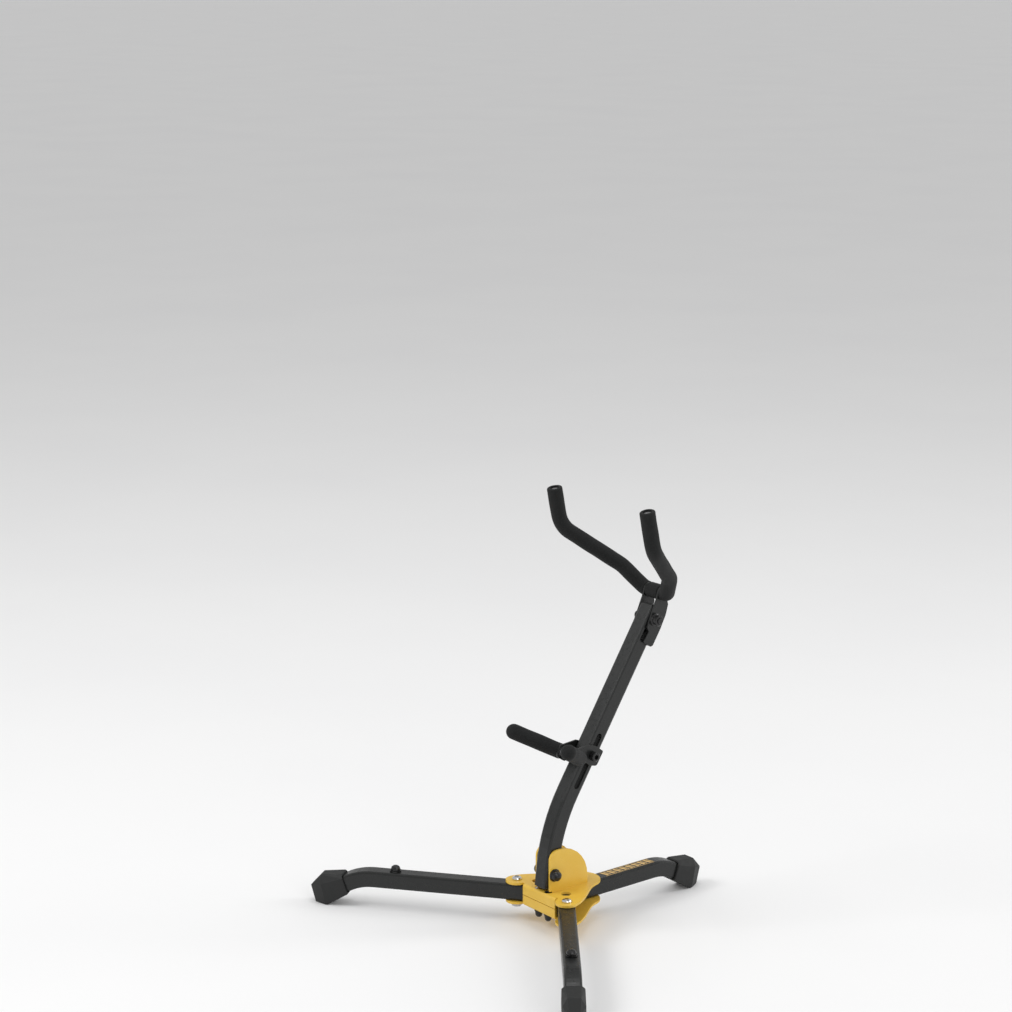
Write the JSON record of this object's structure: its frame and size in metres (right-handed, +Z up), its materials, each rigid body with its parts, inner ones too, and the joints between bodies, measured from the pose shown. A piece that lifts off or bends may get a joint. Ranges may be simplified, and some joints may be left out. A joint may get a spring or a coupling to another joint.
{
  "type": "saxophone stand",
  "caption": "Folding saxophone stand: tripod of square-tube legs on a sheet-metal hub, bent mast, padded sliding cradle below and padded folding yoke on top.",
  "frame": {"origin": "on the floor under the middle of the bounding box", "axes": "+Z up; +Y to the rear, the way the mast leans and the rear leg points; +X to the right seen from the front, across the symmetry plane"},
  "size_m": [0.3718, 0.3048, 0.3794],
  "materials": {
    "yellow_powder_coat": "fine-textured yellow powder coat",
    "black_powder_coat": "satin black powder coat",
    "black_fastener": "black oxide",
    "chrome": "bright nickel plate",
    "zinc_steel": "zinc plate",
    "foot_rubber": "matt moulded rubber",
    "black_foam": "closed-cell foam, fine speckle",
    "plug_plastic": "moulded plastic"
  },
  "bodies": {
    "hub": {"foot_cap_rear": "foot_rubber", "hub_bottom_plate": "yellow_powder_coat", "hub_top_plate": "yellow_powder_coat", "leg_pivot_bush_left": "zinc_steel", "leg_pivot_bush_right": "zinc_steel", "leg_pivot_nut_left": "zinc_steel", "leg_pivot_nut_right": "zinc_steel", "leg_pivot_screw_left": "chrome", "leg_pivot_screw_right": "chrome", "leg_tube_rear": "black_powder_coat", "mast_pivot_bolt": "black_fastener", "mast_pivot_bush": "zinc_steel", "mast_pivot_nut": "black_fastener", "rear_leg_nut_back": "zinc_steel", "rear_leg_nut_front": "zinc_steel", "rear_leg_screw_back": "black_fastener", "rear_leg_screw_front": "black_fastener", "tie_nut_left": "black_fastener", "tie_nut_right": "black_fastener", "tie_screw_left": "zinc_steel", "tie_screw_right": "zinc_steel", "tie_spacer_left": "zinc_steel", "tie_spacer_right": "zinc_steel"},
    "leg_right": {"bumper_screw_right": "black_fastener", "bumper_washer_right": "black_fastener", "detent_spring_right": "zinc_steel", "foot_cap_right": "foot_rubber", "leg_tube_right": "black_powder_coat"},
    "detent_right": {"detent_button_right": "zinc_steel"},
    "leg_left": {"bumper_screw_left": "black_fastener", "bumper_washer_left": "black_fastener", "detent_spring_left": "zinc_steel", "foot_cap_left": "foot_rubber", "leg_tube_left": "black_powder_coat"},
    "detent_left": {"detent_button_left": "zinc_steel"},
    "mast": {"mast_tube": "black_powder_coat", "mast_top_plug": "plug_plastic"},
    "cradle": {"cradle_bracket": "black_powder_coat", "cradle_clamp_bolt": "black_fastener", "cradle_clamp_nut": "black_fastener", "cradle_pad_left": "black_foam", "cradle_pad_right": "black_foam", "cradle_rod": "zinc_steel"},
    "yoke": {"yoke_bolt": "black_fastener", "yoke_bracket": "black_powder_coat", "yoke_bush": "zinc_steel", "yoke_nut": "black_fastener", "yoke_pad_left": "black_foam", "yoke_pad_middle": "black_foam", "yoke_pad_right": "black_foam", "yoke_rod": "zinc_steel"}
  },
  "joints": [
    {"name": "leg_right_swing", "type": "hinge", "parent": "hub", "child": "leg_right", "pos_m": [0.0342, -0.03253, 0.0265], "axis": [0, 0, -1], "range_deg": [0, 52]},
    {"name": "leg_left_swing", "type": "hinge", "parent": "hub", "child": "leg_left", "pos_m": [-0.0342, -0.03253, 0.0265], "axis": [0, 0, 1], "range_deg": [0, 52]},
    {"name": "detent_press_right", "type": "slide", "parent": "leg_right", "child": "detent_right", "axis": [0, 0, -1], "range_m": [0, 0.0015], "stiffness_N_per_m": 400, "springref_m": -0.004, "deforming": ["detent_spring_right"]},
    {"name": "detent_press_left", "type": "slide", "parent": "leg_left", "child": "detent_left", "axis": [0, 0, -1], "range_m": [0, 0.0015], "stiffness_N_per_m": 400, "springref_m": -0.004, "deforming": ["detent_spring_left"]},
    {"name": "mast_fold", "type": "hinge", "parent": "hub", "child": "mast", "pos_m": [0, -0.02633, 0.0521], "axis": [-1, 0, 0], "range_deg": [0, 60]},
    {"name": "cradle_slide", "type": "slide", "parent": "mast", "child": "cradle", "axis": [0, 0.5358, 0.8443], "range_m": [-0.028, 0.017]},
    {"name": "yoke_fold", "type": "hinge", "parent": "mast", "child": "yoke", "pos_m": [0, 0.08703, 0.26301], "axis": [1, 0, 0], "range_deg": [0, 100]}
  ]
}
